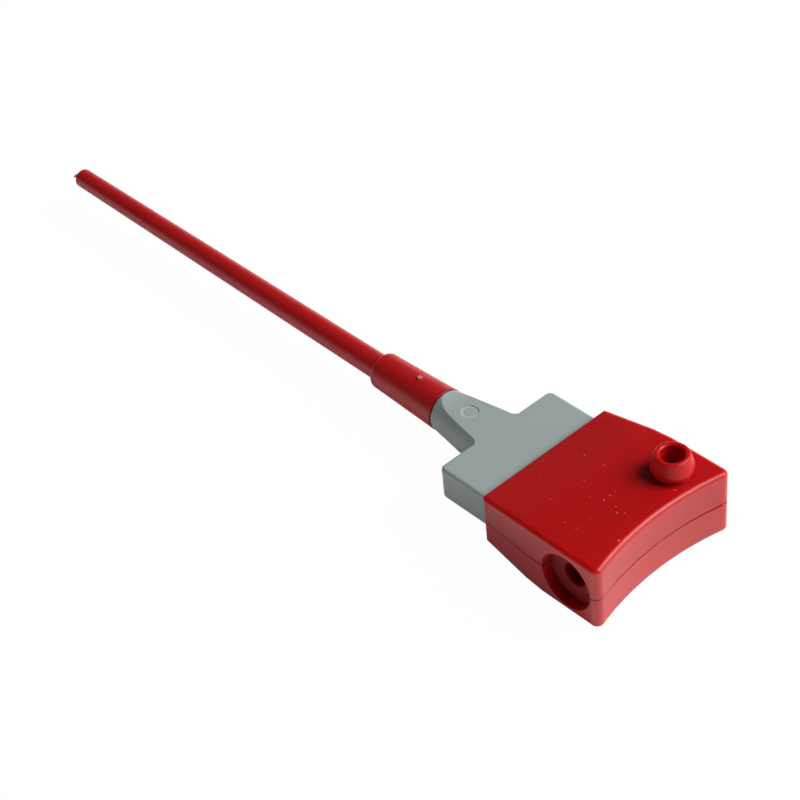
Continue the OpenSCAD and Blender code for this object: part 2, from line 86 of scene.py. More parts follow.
# %% [markdown]
# ## Small helpers for node trees
# A node tree is a list of nodes and wires. Two short helpers keep the trees below readable: one adds a
# node with its settings and the values of its sockets, the other makes a shader group with named
# inputs and outputs, which later materials share with values of their own.

# %% Helpers that add nodes and groups


def add(tree, kind, place, settings=None, values=None):
    """Add one node; settings are attributes, values are sockets by name or number."""
    node = tree.nodes.new(kind)
    node.location = place
    for key, value in (settings or {}).items():
        setattr(node, key, value)
    for key, value in (values or {}).items():
        node.inputs[key].default_value = value
    return node


def new_group(name, inputs, outputs):
    """Make a shader group; returns the tree with its entry and exit nodes."""
    tree = bpy.data.node_groups.new(name, "ShaderNodeTree")
    for label, kind, value in inputs:
        socket = tree.interface.new_socket(name=label, in_out="INPUT", socket_type=kind)
        if value is not None:
            socket.default_value = value
    for label, kind in outputs:
        tree.interface.new_socket(name=label, in_out="OUTPUT", socket_type=kind)
    return tree, add(tree, "NodeGroupInput", (-900, 0)), add(tree, "NodeGroupOutput", (600, 0))


def use_group(tree, group, place, values=None):
    """Place a shader group in a material."""
    return add(tree, "ShaderNodeGroup", place, {"node_tree": group}, values)


FLOAT, VECTOR = "NodeSocketFloat", "NodeSocketVector"
print("helpers ready")

# %% [markdown]
# ## The skin of a moulding
# Plastic takes the finish of the steel mould: a very fine spark-eroded grain, and broad soft patches
# where the melt cooled at a different rate. Both are noise, at two scales. The grain goes to the bump
# and the roughness, the patches to the colour. One group serves the red and the grey mouldings.

# %% Group: moulded skin
moulded_skin, entry, leave = new_group(
    "moulded_skin",
    [("Place", VECTOR, None), ("Grain Scale", FLOAT, 4000.0), ("Patch Scale", FLOAT, 90.0)],
    [("Grain", FLOAT), ("Patches", FLOAT)])
grain = add(moulded_skin, "ShaderNodeTexNoise", (-500, 150), None, {"Detail": 3.0, "Roughness": 0.6})
patches = add(moulded_skin, "ShaderNodeTexNoise", (-500, -150), None, {"Detail": 2.0, "Roughness": 0.5})
spread = add(moulded_skin, "ShaderNodeMapRange", (0, -150), None, {"From Min": 0.3, "From Max": 0.7})
moulded_skin.links.new(entry.outputs["Place"], grain.inputs["Vector"])
moulded_skin.links.new(entry.outputs["Grain Scale"], grain.inputs["Scale"])
moulded_skin.links.new(entry.outputs["Place"], patches.inputs["Vector"])
moulded_skin.links.new(entry.outputs["Patch Scale"], patches.inputs["Scale"])
moulded_skin.links.new(patches.outputs["Fac"], spread.inputs["Value"])
moulded_skin.links.new(grain.outputs["Fac"], leave.inputs["Grain"])
moulded_skin.links.new(spread.outputs["Result"], leave.inputs["Patches"])
print("group:", moulded_skin.name)

# %% [markdown]
# ## Dust that has settled
# The photograph shows tiny pale specks on the upper face of the head, in loose clusters. Cells of a flat
# Voronoi pattern give one possible speck each; one random number per cell keeps only a few, and another
# two make them differ in size and strength. A little noise on the coordinates makes them irregular, and
# a broad noise gathers them. They only lie on faces that look up, which the object-space normal tells.

# %% Group: settled dust
settled_dust, entry, leave = new_group(
    "settled_dust",
    [("Place", VECTOR, None), ("Normal", VECTOR, None), ("Cells", FLOAT, 900.0), ("Share", FLOAT, 0.1),
     ("Speck", FLOAT, 0.1)],
    [("Specks", FLOAT)])
RIPPLE_DEPTH = 0.00022
LOOKS_UP = 0.9
ripple = add(settled_dust, "ShaderNodeTexNoise", (-700, 300), None, {"Scale": 5000.0, "Detail": 1.0})
ripple_size = add(settled_dust, "ShaderNodeVectorMath", (-500, 300), {"operation": "SCALE"},
                  {"Scale": RIPPLE_DEPTH})
bent = add(settled_dust, "ShaderNodeVectorMath", (-300, 300), {"operation": "ADD"})
cells = add(settled_dust, "ShaderNodeTexVoronoi", (-100, 300), {"voronoi_dimensions": "2D", "feature": "F1"})
pick = add(settled_dust, "ShaderNodeSeparateColor", (100, 150))
kept = add(settled_dust, "ShaderNodeMath", (250, 50), {"operation": "LESS_THAN"})
own_size = add(settled_dust, "ShaderNodeMath", (250, 200), {"operation": "MULTIPLY"})
inside = add(settled_dust, "ShaderNodeMath", (400, 300), {"operation": "LESS_THAN"})
both = add(settled_dust, "ShaderNodeMath", (450, 100), {"operation": "MULTIPLY"})
axes = add(settled_dust, "ShaderNodeSeparateXYZ", (-300, -150))
upward = add(settled_dust, "ShaderNodeMath", (-100, -150), {"operation": "GREATER_THAN"}, {1: LOOKS_UP})
settled = add(settled_dust, "ShaderNodeMath", (450, -60), {"operation": "MULTIPLY"})
gather = add(settled_dust, "ShaderNodeTexNoise", (-300, -350), None, {"Scale": 140.0, "Detail": 1.0})
cluster = add(settled_dust, "ShaderNodeMapRange", (-100, -350), None, {"From Min": 0.48, "From Max": 0.62})
share_here = add(settled_dust, "ShaderNodeMath", (100, -350), {"operation": "MULTIPLY"})
faint = add(settled_dust, "ShaderNodeMath", (450, -220), {"operation": "MULTIPLY"})
settled_dust.links.new(entry.outputs["Place"], ripple.inputs["Vector"])
settled_dust.links.new(ripple.outputs["Color"], ripple_size.inputs[0])
settled_dust.links.new(entry.outputs["Place"], bent.inputs[0])
settled_dust.links.new(ripple_size.outputs["Vector"], bent.inputs[1])
settled_dust.links.new(bent.outputs["Vector"], cells.inputs["Vector"])
settled_dust.links.new(entry.outputs["Cells"], cells.inputs["Scale"])
settled_dust.links.new(cells.outputs["Color"], pick.inputs["Color"])
settled_dust.links.new(pick.outputs["Red"], kept.inputs[0])
settled_dust.links.new(entry.outputs["Place"], gather.inputs["Vector"])
settled_dust.links.new(gather.outputs["Fac"], cluster.inputs["Value"])
settled_dust.links.new(cluster.outputs["Result"], share_here.inputs[0])
settled_dust.links.new(entry.outputs["Share"], share_here.inputs[1])
settled_dust.links.new(share_here.outputs["Value"], kept.inputs[1])
settled_dust.links.new(pick.outputs["Green"], own_size.inputs[0])
settled_dust.links.new(entry.outputs["Speck"], own_size.inputs[1])
settled_dust.links.new(cells.outputs["Distance"], inside.inputs[0])
settled_dust.links.new(own_size.outputs["Value"], inside.inputs[1])
settled_dust.links.new(kept.outputs["Value"], both.inputs[0])
settled_dust.links.new(inside.outputs["Value"], both.inputs[1])
settled_dust.links.new(entry.outputs["Normal"], axes.inputs["Vector"])
settled_dust.links.new(axes.outputs["Z"], upward.inputs[0])
settled_dust.links.new(both.outputs["Value"], settled.inputs[0])
settled_dust.links.new(upward.outputs["Value"], settled.inputs[1])
settled_dust.links.new(settled.outputs["Value"], faint.inputs[0])
settled_dust.links.new(pick.outputs["Blue"], faint.inputs[1])
settled_dust.links.new(faint.outputs["Value"], leave.inputs["Specks"])
print("group:", settled_dust.name)

# %% [markdown]
# ## Hairline scratches
# Handling leaves short, faint scratches. Noise that is stretched a hundredfold along one direction and
# cut off near its peaks gives thin broken lines; a second, broad noise leaves them only here and there.

# %% Group: hairline scratches
hairlines, entry, leave = new_group(
    "hairlines", [("Place", VECTOR, None), ("Turn", VECTOR, (0.0, 0.0, 0.5)), ("Amount", FLOAT, 0.5)],
    [("Lines", FLOAT)])
SCRATCH_STRETCH = (90.0, 5200.0, 5200.0)
turned = add(hairlines, "ShaderNodeVectorRotate", (-700, 100), {"rotation_type": "EULER_XYZ"})
stretched = add(hairlines, "ShaderNodeVectorMath", (-500, 100), {"operation": "MULTIPLY"}, {1: SCRATCH_STRETCH})
streaks = add(hairlines, "ShaderNodeTexNoise", (-300, 100), None, {"Scale": 1.0, "Detail": 1.0})
peaks = add(hairlines, "ShaderNodeMapRange", (-100, 100), None, {"From Min": 0.70, "From Max": 0.76})
where = add(hairlines, "ShaderNodeTexNoise", (-300, -150), None, {"Scale": 130.0, "Detail": 1.0})
there = add(hairlines, "ShaderNodeMapRange", (-100, -150), None, {"From Min": 0.52, "From Max": 0.62})
broken = add(hairlines, "ShaderNodeMath", (150, 50), {"operation": "MULTIPLY"})
faint = add(hairlines, "ShaderNodeMath", (350, 50), {"operation": "MULTIPLY"})
hairlines.links.new(entry.outputs["Place"], turned.inputs["Vector"])
hairlines.links.new(entry.outputs["Turn"], turned.inputs["Rotation"])
hairlines.links.new(turned.outputs["Vector"], stretched.inputs[0])
hairlines.links.new(stretched.outputs["Vector"], streaks.inputs["Vector"])
hairlines.links.new(streaks.outputs["Fac"], peaks.inputs["Value"])
hairlines.links.new(entry.outputs["Place"], where.inputs["Vector"])
hairlines.links.new(where.outputs["Fac"], there.inputs["Value"])
hairlines.links.new(peaks.outputs["Result"], broken.inputs[0])
hairlines.links.new(there.outputs["Result"], broken.inputs[1])
hairlines.links.new(broken.outputs["Value"], faint.inputs[0])
hairlines.links.new(entry.outputs["Amount"], faint.inputs[1])
hairlines.links.new(faint.outputs["Value"], leave.inputs["Lines"])
print("group:", hairlines.name)

# %% [markdown]
# ## Marks at one place
# Some marks sit at a known spot: the pale scar where the gate was broken off the collar, a painted shade
# in the side recess, and a painted highlight on the rim of the ejector mark on the grip. Their mask comes
# from the distance to a point, with a soft edge: a disc, or a ring where a ring radius is given.

# %% Group: round mark
round_mark, entry, leave = new_group(
    "round_mark", [("Place", VECTOR, None), ("Centre", VECTOR, (0.0, 0.0, 0.0)), ("Ring", FLOAT, 0.0),
                   ("Width", FLOAT, 0.001), ("Share", FLOAT, 0.0)],
    [("Mask", FLOAT)])
FULL_PART = 0.75
apart = add(round_mark, "ShaderNodeVectorMath", (-700, 100), {"operation": "DISTANCE"})
off_ring = add(round_mark, "ShaderNodeMath", (-550, 100), {"operation": "SUBTRACT"})
either_way = add(round_mark, "ShaderNodeMath", (-380, 100), {"operation": "ABSOLUTE"})
core = add(round_mark, "ShaderNodeMath", (-500, -150), {"operation": "MULTIPLY"}, {1: FULL_PART})
fade = add(round_mark, "ShaderNodeMapRange", (-200, 0), {"interpolation_type": "SMOOTHSTEP"},
           {"To Min": 1.0, "To Max": 0.0})
part = add(round_mark, "ShaderNodeMath", (100, 0), {"operation": "MULTIPLY"})
round_mark.links.new(entry.outputs["Place"], apart.inputs[0])
round_mark.links.new(entry.outputs["Centre"], apart.inputs[1])
round_mark.links.new(entry.outputs["Width"], core.inputs[0])
round_mark.links.new(apart.outputs["Value"], off_ring.inputs[0])
round_mark.links.new(entry.outputs["Ring"], off_ring.inputs[1])
round_mark.links.new(off_ring.outputs["Value"], either_way.inputs[0])
round_mark.links.new(either_way.outputs["Value"], fade.inputs["Value"])
round_mark.links.new(core.outputs["Value"], fade.inputs["From Min"])
round_mark.links.new(entry.outputs["Width"], fade.inputs["From Max"])
round_mark.links.new(fade.outputs["Result"], part.inputs[0])
round_mark.links.new(entry.outputs["Share"], part.inputs[1])
round_mark.links.new(part.outputs["Value"], leave.inputs["Mask"])
print("group:", round_mark.name)

# %% [markdown]
# ## Moulded plastics
# Red and grey are the same recipe with other numbers: a base colour that drifts a little with the
# patches, a gate scar and dark joint lines where the real piece has them, a painted shade in the side
# recess and a painted highlight on the rim of the ejector mark, specks of dust over all, roughness that
# rises on grain, scratches and marks, and a shallow bump. The upright faces of the head are painted a
# little paler, partly for wear from hands and partly as a painted sheen. Red plastic lets some light in,
# and the shader's subsurface weight gives that: it softens the shadows on the head. The line where the
# two shells meet is dark only where it gapes, so its mask fades out on the near half of the thumb face,
# where the shells fit tightly. The shader itself stays in the material, and the numbers that are the same
# all over sit on its sockets.

# %% Recipe for a moulded plastic
SEAM_TIGHT_AT = -0.0065
SEAM_TIGHT_REACH, SEAM_OPEN_REACH = 0.0055, 0.0085
SEAM_CORE, SEAM_EDGE = 0.00004, 0.00015
JOINT_LINE = 0.0002
GRIME = (0.03, 0.004, 0.004)
SPECK_SIZE = 0.15
MARK_DULLS = 0.5
ROUGH_SPREAD = 0.05
# Upright faces are painted paler between these tilts: partly wear from hands, partly a painted sheen.
TILT_PLAIN, TILT_RUBBED_AND_SHEEN = 0.66, 0.24
GLOW_COLOURS, GLOW_DEPTH = (1.0, 0.06, 0.06), 0.005
NO_MARK = {"colour": (0.5, 0.5, 0.5), "centre": (0.0, 0.0, 0.0), "width": 0.001, "share": 0.0, "ring": 0.0}


def moulded_plastic(name, colour, drift, rough, gloss, dust_and_sheen_colour, dust_share, scratch,
                    grain_scale, grain_depth, mark=NO_MARK, wear_and_sheen=0.0, glow=0.0, joint_x=1.0, seam_z=-1.0):
    """A moulded plastic: colours are linear RGB, rough is the mean roughness, gloss the index of
    refraction, wear_and_sheen pales the upright faces with wear from hands and a painted sheen, glow lets
    light in, a dark line of grime starts at joint_x and one lies at seam_z; the last two lie outside the hook
    where they are not given."""
    material = bpy.data.materials.new(name)
    material.use_nodes = True
    tree = material.node_tree
    tree.nodes.clear()
    out = add(tree, "ShaderNodeOutputMaterial", (900, 0))
    shader = add(tree, "ShaderNodeBsdfPrincipled", (600, 0), None, {
        "IOR": gloss, "Subsurface Weight": glow,
        "Subsurface Radius": GLOW_COLOURS, "Subsurface Scale": GLOW_DEPTH})
    where_on = add(tree, "ShaderNodeTexCoord", (-900, 0))
    skin = use_group(tree, moulded_skin, (-650, 250), {"Grain Scale": grain_scale})
    dust = use_group(tree, settled_dust, (-650, 0), {"Share": dust_share, "Speck": SPECK_SIZE})
    lines = use_group(tree, hairlines, (-650, -250), {"Amount": scratch})
    tint = add(tree, "ShaderNodeMix", (-350, 350), {"data_type": "RGBA"},
               {6: (*colour, 1.0), 7: (*drift, 1.0)})
    spot = use_group(tree, round_mark, (-650, 500), {
        "Centre": mark["centre"], "Ring": mark["ring"], "Width": mark["width"], "Share": mark["share"]})
    marked = add(tree, "ShaderNodeMix", (-50, 550), {"data_type": "RGBA"}, {7: (*mark["colour"], 1.0)})
    # Painted sheen with wear from hands: the steeper a face stands, the more it is mixed towards the pale
    # colour.
    facing = add(tree, "ShaderNodeSeparateXYZ", (-650, 750))
    tilt = add(tree, "ShaderNodeMath", (-450, 750), {"operation": "ABSOLUTE"})
    rubbed_and_sheen = add(tree, "ShaderNodeMapRange", (-250, 750), None,
                 {"From Min": TILT_PLAIN, "From Max": TILT_RUBBED_AND_SHEEN, "To Max": wear_and_sheen})
    paled = add(tree, "ShaderNodeMix", (-250, 550), {"data_type": "RGBA"}, {7: (*dust_and_sheen_colour, 1.0)})
    along = add(tree, "ShaderNodeSeparateXYZ", (-650, 950))
    joint = add(tree, "ShaderNodeMapRange", (-450, 950), None,
                {"From Min": joint_x, "From Max": joint_x + JOINT_LINE})
    above = add(tree, "ShaderNodeMath", (-450, 1150), {"operation": "SUBTRACT"}, {1: seam_z})
    off_seam = add(tree, "ShaderNodeMath", (-250, 1150), {"operation": "ABSOLUTE"})
    seam = add(tree, "ShaderNodeMapRange", (-50, 1150), None,
               {"From Min": SEAM_CORE, "From Max": SEAM_EDGE, "To Min": 1.0, "To Max": 0.0})
    beside = add(tree, "ShaderNodeMath", (-450, 1350), {"operation": "SUBTRACT"}, {1: SEAM_TIGHT_AT})
    off_tight = add(tree, "ShaderNodeMath", (-250, 1350), {"operation": "ABSOLUTE"})
    gaping = add(tree, "ShaderNodeMapRange", (-50, 1350), None,
                 {"From Min": SEAM_TIGHT_REACH, "From Max": SEAM_OPEN_REACH})
    open_seam = add(tree, "ShaderNodeMath", (150, 1150), {"operation": "MULTIPLY"})
    grime = add(tree, "ShaderNodeMath", (300, 950), {"operation": "MAXIMUM"})
    grimy = add(tree, "ShaderNodeMix", (100, 650), {"data_type": "RGBA"}, {7: (*GRIME, 1.0)})
    dusty = add(tree, "ShaderNodeMix", (250, 400), {"data_type": "RGBA"}, {7: (*dust_and_sheen_colour, 1.0)})
    matt = add(tree, "ShaderNodeMapRange", (-350, 50), None,
               {"To Min": rough - ROUGH_SPREAD, "To Max": rough + ROUGH_SPREAD})
    scuffed = add(tree, "ShaderNodeMath", (-100, 50), {"operation": "ADD"})
    dulled = add(tree, "ShaderNodeMath", (100, 50), {"operation": "MULTIPLY_ADD"}, {1: MARK_DULLS})
    relief = add(tree, "ShaderNodeMath", (-350, -250), {"operation": "SUBTRACT"})
    bump = add(tree, "ShaderNodeBump", (200, -200), None, {"Strength": 0.35, "Distance": grain_depth})
    link = tree.links.new
    for group in (skin, dust, lines, spot):
        link(where_on.outputs["Object"], group.inputs["Place"])
    link(where_on.outputs["Normal"], dust.inputs["Normal"])
    link(skin.outputs["Patches"], tint.inputs[0])
    link(where_on.outputs["Normal"], facing.inputs["Vector"])
    link(facing.outputs["Z"], tilt.inputs[0])
    link(tilt.outputs["Value"], rubbed_and_sheen.inputs["Value"])
    link(spot.outputs["Mask"], marked.inputs[0])
    link(tint.outputs[2], paled.inputs[6])
    link(rubbed_and_sheen.outputs["Result"], paled.inputs[0])
    link(paled.outputs[2], marked.inputs[6])
    link(where_on.outputs["Object"], along.inputs["Vector"])
    link(along.outputs["X"], joint.inputs["Value"])
    link(along.outputs["Z"], above.inputs[0])
    link(above.outputs["Value"], off_seam.inputs[0])
    link(off_seam.outputs["Value"], seam.inputs["Value"])
    link(along.outputs["Y"], beside.inputs[0])
    link(beside.outputs["Value"], off_tight.inputs[0])
    link(off_tight.outputs["Value"], gaping.inputs["Value"])
    link(seam.outputs["Result"], open_seam.inputs[0])
    link(gaping.outputs["Result"], open_seam.inputs[1])
    link(joint.outputs["Result"], grime.inputs[0])
    link(open_seam.outputs["Value"], grime.inputs[1])
    link(grime.outputs["Value"], grimy.inputs[0])
    link(marked.outputs[2], grimy.inputs[6])
    link(grimy.outputs[2], dusty.inputs[6])
    link(dust.outputs["Specks"], dusty.inputs[0])
    link(dusty.outputs[2], shader.inputs["Base Color"])
    link(skin.outputs["Grain"], matt.inputs["Value"])
    link(matt.outputs["Result"], scuffed.inputs[0])
    link(lines.outputs["Lines"], scuffed.inputs[1])
    link(spot.outputs["Mask"], dulled.inputs[0])
    link(scuffed.outputs["Value"], dulled.inputs[2])
    link(dulled.outputs["Value"], shader.inputs["Roughness"])
    link(skin.outputs["Grain"], relief.inputs[0])
    link(lines.outputs["Lines"], relief.inputs[1])
    link(relief.outputs["Value"], bump.inputs["Height"])
    link(bump.outputs["Normal"], shader.inputs["Normal"])
    link(shader.outputs["BSDF"], out.inputs["Surface"])
    return material


# These pale colours serve the dust specks and also the painted sheen on upright faces.
DUST_AND_SHEEN_ON_RED, DUST_AND_SHEEN_ON_GREY = (0.62, 0.36, 0.33), (0.55, 0.58, 0.57)
NECK_LENGTH = 0.0123
RECESS_CENTRE_OUT = 0.0018
collar_low, collar_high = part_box("tube_collar")
sleeve_low, sleeve_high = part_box("side_socket_sleeve")
collar_length = collar_high[0] - collar_low[0]
gate_scar = {
    "colour": (0.62, 0.26, 0.24), "width": 0.00055, "share": 0.7, "ring": 0.0,
    "centre": ((collar_low[0] + collar_high[0]) / 2 + collar_length / 8, 0.0, collar_high[2])}
# Painted highlight: a paler grey ring painted on the rim of the ejector mark, where its edge catches light.
ejector_edge_highlight = {
    "colour": (0.56, 0.61, 0.60), "width": 0.00014, "share": 0.6, "ring": 0.00155,
    "centre": (collar_high[0] + NECK_LENGTH / 2, 0.0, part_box("finger_grip")[1][2])}
# Painted shade: the side recess is painted a darker red where little light reaches into it.
recess_painted_shade = {
    "colour": (0.20, 0.0015, 0.002), "width": 0.0052, "share": 0.8, "ring": 0.0,
    "centre": ((sleeve_low[0] + sleeve_high[0]) / 2, sleeve_low[1] - RECESS_CENTRE_OUT,
               (sleeve_low[2] + sleeve_high[2]) / 2)}
seam_height = (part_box("head_lower_shell")[0][2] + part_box("head_upper_shell")[1][2]) / 2

# The head's upright faces take the painted sheen with wear from hands, and its recess the painted shade.
red_head = moulded_plastic(
    "red_head_plastic", colour=(0.455, 0.0036, 0.0044), drift=(0.425, 0.0032, 0.0040), rough=0.33, gloss=1.54,
    dust_and_sheen_colour=DUST_AND_SHEEN_ON_RED, dust_share=0.20, scratch=0.25, grain_scale=7000.0, grain_depth=0.00001,
    mark=recess_painted_shade, wear_and_sheen=0.055, glow=0.8, seam_z=seam_height)
red_bush = moulded_plastic(
    "red_bush_plastic", colour=(0.50, 0.0042, 0.0050), drift=(0.47, 0.0038, 0.0046), rough=0.33, gloss=1.40,
    dust_and_sheen_colour=DUST_AND_SHEEN_ON_RED, dust_share=0.0, scratch=0.15, grain_scale=7000.0, grain_depth=0.00001, glow=0.12)
red_shaft = moulded_plastic(
    "red_shaft_plastic", colour=(0.46, 0.0105, 0.0125), drift=(0.44, 0.0095, 0.0112), rough=0.33, gloss=1.42,
    dust_and_sheen_colour=DUST_AND_SHEEN_ON_RED, dust_share=0.02, scratch=0.15, grain_scale=9000.0, grain_depth=0.000002,
    mark=gate_scar, joint_x=collar_high[0] - JOINT_LINE)
# The grip carries the painted highlight on the rim of its ejector mark.
grey_grip = moulded_plastic(
    "grey_grip_plastic", colour=(0.330, 0.380, 0.370), drift=(0.312, 0.362, 0.352), rough=0.42, gloss=1.50,
    dust_and_sheen_colour=DUST_AND_SHEEN_ON_GREY, dust_share=0.02, scratch=0.10, grain_scale=6000.0, grain_depth=0.000015,
    mark=ejector_edge_highlight)
print("plastics:", red_head.name, red_bush.name, red_shaft.name, grey_grip.name)

# %% [markdown]
# ## Metals
# The sleeves, the bridge and the bush are turned or stamped brass, the rod and the claws drawn steel
# wire. Turning and drawing leave fine lines: noise that changes fast across the lines and slowly along
# them. The direction is set by the stretch, so a rod gets lines along it and a turned sleeve rings.

# %% Group: drawn lines, and the recipe for a metal
drawn_lines, entry, leave = new_group(
    "drawn_lines", [("Place", VECTOR, None), ("Stretch", VECTOR, (100.0, 4000.0, 4000.0))],
    [("Lines", FLOAT), ("Tarnish", FLOAT)])
scaled = add(drawn_lines, "ShaderNodeVectorMath", (-500, 100), {"operation": "MULTIPLY"})
streaks = add(drawn_lines, "ShaderNodeTexNoise", (-300, 100), None, {"Scale": 1.0, "Detail": 2.0})
cloud = add(drawn_lines, "ShaderNodeTexNoise", (-300, -150), None, {"Scale": 350.0, "Detail": 3.0})
drawn_lines.links.new(entry.outputs["Place"], scaled.inputs[0])
drawn_lines.links.new(entry.outputs["Stretch"], scaled.inputs[1])
drawn_lines.links.new(scaled.outputs["Vector"], streaks.inputs["Vector"])
drawn_lines.links.new(entry.outputs["Place"], cloud.inputs["Vector"])
drawn_lines.links.new(streaks.outputs["Fac"], leave.inputs["Lines"])
drawn_lines.links.new(cloud.outputs["Fac"], leave.inputs["Tarnish"])


LINE_DEPTH = 0.00001


def worked_metal(name, bright, dull, rough, stretch):
    """A turned or drawn metal: bright and dull are linear RGB, stretch gives the direction of its lines."""
    material = bpy.data.materials.new(name)
    material.use_nodes = True
    tree = material.node_tree
    tree.nodes.clear()
    out = add(tree, "ShaderNodeOutputMaterial", (900, 0))
    shader = add(tree, "ShaderNodeBsdfPrincipled", (600, 0), None, {"Metallic": 1.0})
    where_on = add(tree, "ShaderNodeTexCoord", (-700, 0))
    lines = use_group(tree, drawn_lines, (-450, 0), {"Stretch": stretch})
    tint = add(tree, "ShaderNodeMix", (-150, 200), {"data_type": "RGBA"},
               {6: (*bright, 1.0), 7: (*dull, 1.0)})
    matt = add(tree, "ShaderNodeMapRange", (-150, 0), None, {"To Min": rough - 0.08, "To Max": rough + 0.1})
    bump = add(tree, "ShaderNodeBump", (200, -200), None, {"Strength": 0.3, "Distance": LINE_DEPTH})
    link = tree.links.new
    link(where_on.outputs["Object"], lines.inputs["Place"])
    link(lines.outputs["Tarnish"], tint.inputs[0])
    link(tint.outputs[2], shader.inputs["Base Color"])
    link(lines.outputs["Lines"], matt.inputs["Value"])
    link(matt.outputs["Result"], shader.inputs["Roughness"])
    link(lines.outputs["Lines"], bump.inputs["Height"])
    link(bump.outputs["Normal"], shader.inputs["Normal"])
    link(shader.outputs["BSDF"], out.inputs["Surface"])
    return material


NICKEL, WORN_NICKEL = (0.74, 0.72, 0.66), (0.60, 0.57, 0.50)
BRASS, WORN_BRASS = (0.74, 0.53, 0.22), (0.58, 0.38, 0.14)
ROD, WORN_ROD = (0.60, 0.60, 0.62), (0.48, 0.48, 0.50)
WIRE, WORN_WIRE = (0.86, 0.86, 0.87), (0.74, 0.74, 0.76)
nickel_side = worked_metal("nickel_side_sleeve", NICKEL, WORN_NICKEL, 0.25, (300.0, 5000.0, 300.0))
nickel_top = worked_metal("nickel_top_sleeve", NICKEL, WORN_NICKEL, 0.25, (300.0, 300.0, 5000.0))
turned_brass = worked_metal("turned_brass", BRASS, WORN_BRASS, 0.30, (5000.0, 300.0, 300.0))
rod_steel = worked_metal("drawn_rod_steel", ROD, WORN_ROD, 0.28, (120.0, 5000.0, 5000.0))
wire_steel = worked_metal("claw_wire_steel", WIRE, WORN_WIRE, 0.68, (150.0, 6000.0, 6000.0))
print("metals:", nickel_side.name, nickel_top.name, turned_brass.name, rod_steel.name, wire_steel.name)

# %% [markdown]
# ## Dressing the moulded and turned pieces
# The solids already have the right shape, so they stay and only take a finish. A node's own material
# slots are filled, which leaves its mesh alone.

# %% Finish of every carried-over piece
FINISH = {
    "head_upper_shell": red_head, "head_lower_shell": red_head, "top_socket_bush": red_bush,
    "tube_collar": red_shaft, "insulating_tube": red_shaft, "finger_grip": grey_grip,
    "side_socket_sleeve": nickel_side, "top_socket_sleeve": nickel_top,
    "contact_bridge": turned_brass, "rod_bush": turned_brass, "claw_ferrule": turned_brass,
    "plunger_rod": rod_steel, "spring_washer": rod_steel, "claw_left": wire_steel, "claw_right": wire_steel,
}
for name, finish in FINISH.items():
    for slot in nodes[name].material_slots:
        slot.material = finish
print("dressed:", len(FINISH))

# %% [markdown]
# ## Return spring
# Inside the head and the grip, a coil spring pushes the head back. A coil follows a rule, so it is made
# with Geometry Nodes: a spiral whose rise and turns are named inputs, swept with a round wire. The
# result becomes a plain mesh that stands for the simple spring of the frame, and it moves with the grip.

# %% Spring from Geometry Nodes
WIRE_RADIUS = 0.00025
TURNS = 10.0
POINTS_PER_TURN, POINTS_ROUND_WIRE = 40, 12
spring_low, spring_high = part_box("return_spring")
spring_start = spring_low[0]
spring_length = spring_high[0] - spring_low[0]
coil_radius = (spring_high[2] - spring_low[2]) / 2 - WIRE_RADIUS
shaft_height = (spring_high[2] + spring_low[2]) / 2

coil_tree = bpy.data.node_groups.new("coil_of_wire", "GeometryNodeTree")
coil_inputs = {}
for label, value in (("Turns", TURNS), ("Coil Radius", coil_radius),
                     ("Length", spring_length - 2 * WIRE_RADIUS), ("Wire Radius", WIRE_RADIUS)):
    socket = coil_tree.interface.new_socket(name=label, in_out="INPUT", socket_type=FLOAT)
    coil_inputs[label] = (socket.identifier, value)
wire_socket = coil_tree.interface.new_socket(name="Wire", in_out="INPUT", socket_type="NodeSocketMaterial")
coil_tree.interface.new_socket(name="Geometry", in_out="OUTPUT", socket_type="NodeSocketGeometry")
begin = add(coil_tree, "NodeGroupInput", (-600, 0))
spiral = add(coil_tree, "GeometryNodeCurveSpiral", (-350, 100), None, {"Resolution": POINTS_PER_TURN})
ring = add(coil_tree, "GeometryNodeCurvePrimitiveCircle", (-350, -200), None,
           {"Resolution": POINTS_ROUND_WIRE})
sweep = add(coil_tree, "GeometryNodeCurveToMesh", (-100, 0), None, {"Fill Caps": True})
lay = add(coil_tree, "GeometryNodeTransform", (100, 0), None,
          {"Rotation": (0.0, math.pi / 2, 0.0), "Translation": (spring_start + WIRE_RADIUS, 0.0, shaft_height)})
smooth = add(coil_tree, "GeometryNodeSetShadeSmooth", (250, 0))
whole = add(coil_tree, "GeometryNodeRealizeInstances", (400, 0))
dress = add(coil_tree, "GeometryNodeSetMaterial", (550, 0))
end = add(coil_tree, "NodeGroupOutput", (750, 0))
join = coil_tree.links.new
join(begin.outputs["Turns"], spiral.inputs["Rotations"])
join(begin.outputs["Coil Radius"], spiral.inputs["Start Radius"])
join(begin.outputs["Coil Radius"], spiral.inputs["End Radius"])
join(begin.outputs["Length"], spiral.inputs["Height"])
join(begin.outputs["Wire Radius"], ring.inputs["Radius"])
join(spiral.outputs["Curve"], sweep.inputs["Curve"])
join(ring.outputs["Curve"], sweep.inputs["Profile Curve"])
join(sweep.outputs["Mesh"], lay.inputs["Geometry"])
join(lay.outputs["Geometry"], smooth.inputs["Geometry"])
join(smooth.outputs["Geometry"], whole.inputs["Geometry"])
join(whole.outputs["Geometry"], dress.inputs["Geometry"])
join(begin.outputs["Wire"], dress.inputs["Material"])
join(dress.outputs["Geometry"], end.inputs["Geometry"])


